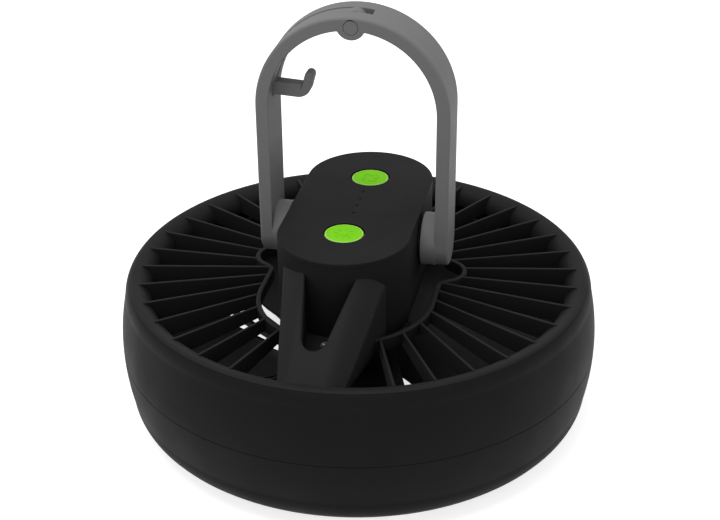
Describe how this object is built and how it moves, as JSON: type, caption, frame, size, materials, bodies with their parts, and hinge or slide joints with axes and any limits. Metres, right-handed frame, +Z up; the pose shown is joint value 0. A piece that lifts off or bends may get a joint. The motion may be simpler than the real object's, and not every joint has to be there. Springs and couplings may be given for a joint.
{
  "type": "portable camping fan",
  "caption": "Round black fan that lies on its outlet grille, with a switch pod across the finned intake, two green buttons, a folding grey bail and a hanging hook.",
  "frame": {"origin": "centre of the base, on the surface that the feet stand on", "axes": "+Z up, X along the bail's pivot, Y along the switch pod, -Y to the side seen in the picture"},
  "size_m": [0.2104, 0.2104, 0.1863],
  "materials": {
    "black_shell": "satin moulded",
    "dark_grille": "satin moulded",
    "grey_bail": "satin moulded",
    "grey_fan": "satin moulded",
    "green_button": "fine texture",
    "white_plastic": "satin",
    "frosted_lens": "frosted",
    "rubber": "matt",
    "steel": "zinc plated",
    "bronze": "sintered",
    "copper": "wound",
    "magnet": "matt",
    "board": "solder mask",
    "cell_wrap": "shrink film",
    "switch_black": "matt",
    "light_pin": "clear",
    "led": "phosphor"
  },
  "bodies": {
    "casing": {"outlet_grille": "dark_grille", "foot_pads": "rubber", "lower_shell": "black_shell", "air_duct": "dark_grille", "upper_shell": "black_shell", "intake_grille": "dark_grille", "casing_screws": "steel", "motor_bracket": "dark_grille", "strut_screws": "steel", "pod_housing": "black_shell", "pod_lid": "black_shell", "pod_screws": "steel", "control_board": "board", "tact_switches": "switch_black", "charge_lights": "light_pin", "usb_port": "steel", "battery_tray": "dark_grille", "battery_cells": "cell_wrap", "cell_contacts": "steel", "motor_can": "steel", "motor_end_plate": "switch_black", "motor_magnets": "magnet", "motor_bushes": "bronze", "motor_screws": "steel", "lamp_bowl": "white_plastic", "led_board": "white_plastic", "led_chips": "led", "lamp_lens": "frosted_lens", "lamp_screws": "steel"},
    "fan_button": {"fan_button": "green_button"},
    "lamp_button": {"lamp_button": "green_button"},
    "rotor": {"impeller": "grey_fan", "motor_shaft": "steel", "motor_rotor": "copper", "impeller_nut": "steel"},
    "bail": {"bail": "grey_bail", "pivot_screws": "steel", "pivot_washers": "white_plastic", "hook_pin": "grey_bail"},
    "hook": {"hook": "grey_bail"}
  },
  "joints": [
    {"name": "fan_button_press", "type": "slide", "parent": "casing", "child": "fan_button", "axis": [0, 0, -1], "range_m": [0, 0.0008], "stiffness_N_per_m": 800},
    {"name": "lamp_button_press", "type": "slide", "parent": "casing", "child": "lamp_button", "axis": [0, 0, -1], "range_m": [0, 0.0008], "stiffness_N_per_m": 800},
    {"name": "impeller_spin", "type": "hinge", "parent": "casing", "child": "rotor", "pos_m": [0, 0, 0.03], "axis": [0, 0, 1], "continuous": true},
    {"name": "bail_fold", "type": "hinge", "parent": "casing", "child": "bail", "pos_m": [0, 0, 0.0851], "axis": [1, 0, 0], "range_deg": [-90, 90]},
    {"name": "hook_swing", "type": "hinge", "parent": "bail", "child": "hook", "pos_m": [0, 0, 0.1818], "axis": [0, 1, 0], "range_deg": [0, 130]}
  ]
}
